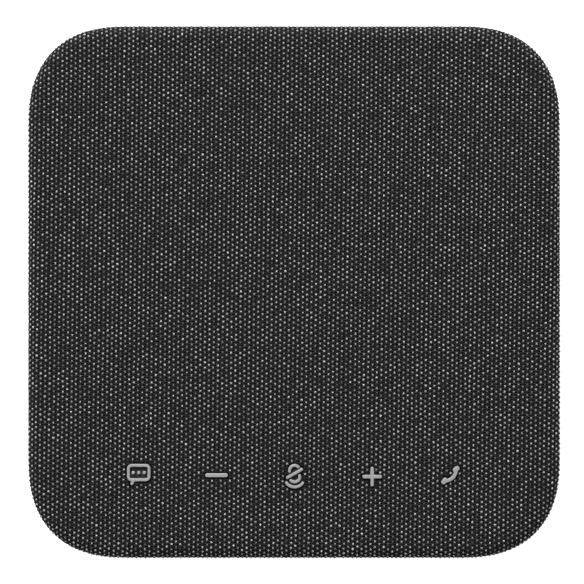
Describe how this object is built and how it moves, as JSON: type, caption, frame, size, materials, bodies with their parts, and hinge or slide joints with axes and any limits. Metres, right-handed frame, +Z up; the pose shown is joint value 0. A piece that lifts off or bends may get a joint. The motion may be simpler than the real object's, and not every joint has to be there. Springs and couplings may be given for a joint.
{
  "type": "conference speakerphone",
  "caption": "Square fabric-covered conference speakerphone with a row of push keys, an upward-firing loudspeaker and a groove underneath for winding its lead.",
  "frame": {"origin": "middle of the footprint, on the surface that the rubber foot stands on", "axes": "+Z up, -Y towards the user and the key row, +X to the user's right"},
  "size_m": [0.102, 0.102, 0.0269],
  "materials": {
    "fabric": "plain-woven melange polyester, light grey on near black",
    "symbol_plastic": "moulded light grey, satin",
    "dark_plastic": "moulded, fine spark-eroded texture",
    "rubber": "matt",
    "foam": "open-cell foam",
    "steel": "zinc plated",
    "black_steel": "black, satin",
    "ferrite": "ground ferrite",
    "paper": "pressed pulp",
    "varnished_cloth": "corrugated, varnished",
    "copper": "enamelled wire",
    "circuit_board": "solder mask",
    "ivory_plastic": "moulded",
    "chip_plastic": "moulded",
    "red_wire": "PVC insulation",
    "black_wire": "PVC insulation"
  },
  "bodies": {
    "housing": {"fabric_cover": "fabric", "top_shell": "dark_plastic", "bottom_shell": "dark_plastic", "foot_plate": "dark_plastic", "rubber_foot": "rubber", "cable_gland": "rubber", "speaker_frame": "black_steel", "speaker_top_plate": "steel", "speaker_magnet": "ferrite", "speaker_yoke": "steel", "speaker_surround": "rubber", "speaker_spider": "varnished_cloth", "speaker_gasket": "foam", "main_board": "circuit_board", "key_board": "circuit_board", "key_board_socket": "ivory_plastic", "main_board_socket": "ivory_plastic", "flat_cable": "ivory_plastic", "audio_processor": "chip_plastic", "speaker_header": "ivory_plastic", "usb_header": "ivory_plastic", "speaker_lead_red": "red_wire", "speaker_lead_black": "black_wire", "switch_join": "black_steel", "switch_volume_down": "black_steel", "switch_mute": "black_steel", "switch_volume_up": "black_steel", "switch_call": "black_steel", "microphone_left": "steel", "microphone_boot_left": "rubber", "microphone_lead_left": "black_wire", "microphone_right": "steel", "microphone_boot_right": "rubber", "microphone_lead_right": "black_wire", "case_screw_1": "steel", "case_screw_2": "steel", "case_screw_3": "steel", "case_screw_4": "steel", "speaker_screw_1": "steel", "speaker_screw_2": "steel", "speaker_screw_3": "steel"},
    "join_key": {"key_join": "dark_plastic", "symbol_join": "symbol_plastic", "plunger_join": "ivory_plastic"},
    "volume_down_key": {"key_volume_down": "dark_plastic", "symbol_volume_down": "symbol_plastic", "plunger_volume_down": "ivory_plastic"},
    "mute_key": {"key_mute": "dark_plastic", "symbol_mute": "symbol_plastic", "plunger_mute": "ivory_plastic"},
    "volume_up_key": {"key_volume_up": "dark_plastic", "symbol_volume_up": "symbol_plastic", "plunger_volume_up": "ivory_plastic"},
    "call_key": {"key_call": "dark_plastic", "symbol_call": "symbol_plastic", "plunger_call": "ivory_plastic"},
    "diaphragm": {"speaker_cone": "paper", "speaker_dust_cap": "paper", "voice_coil": "copper"}
  },
  "joints": [
    {"name": "join_press", "type": "slide", "parent": "housing", "child": "join_key", "axis": [0, 0, -1], "range_m": [0, 0.0005], "stiffness_N_per_m": 2000, "springref_m": -0.0002},
    {"name": "volume_down_press", "type": "slide", "parent": "housing", "child": "volume_down_key", "axis": [0, 0, -1], "range_m": [0, 0.0005], "stiffness_N_per_m": 2000, "springref_m": -0.0002},
    {"name": "mute_press", "type": "slide", "parent": "housing", "child": "mute_key", "axis": [0, 0, -1], "range_m": [0, 0.0005], "stiffness_N_per_m": 2000, "springref_m": -0.0002},
    {"name": "volume_up_press", "type": "slide", "parent": "housing", "child": "volume_up_key", "axis": [0, 0, -1], "range_m": [0, 0.0005], "stiffness_N_per_m": 2000, "springref_m": -0.0002},
    {"name": "call_press", "type": "slide", "parent": "housing", "child": "call_key", "axis": [0, 0, -1], "range_m": [0, 0.0005], "stiffness_N_per_m": 2000, "springref_m": -0.0002},
    {"name": "cone_travel", "type": "slide", "parent": "housing", "child": "diaphragm", "axis": [0, 0, 1], "range_m": [-0.001, 0.001], "stiffness_N_per_m": 1500, "deforming": ["speaker_surround", "speaker_spider"]}
  ]
}
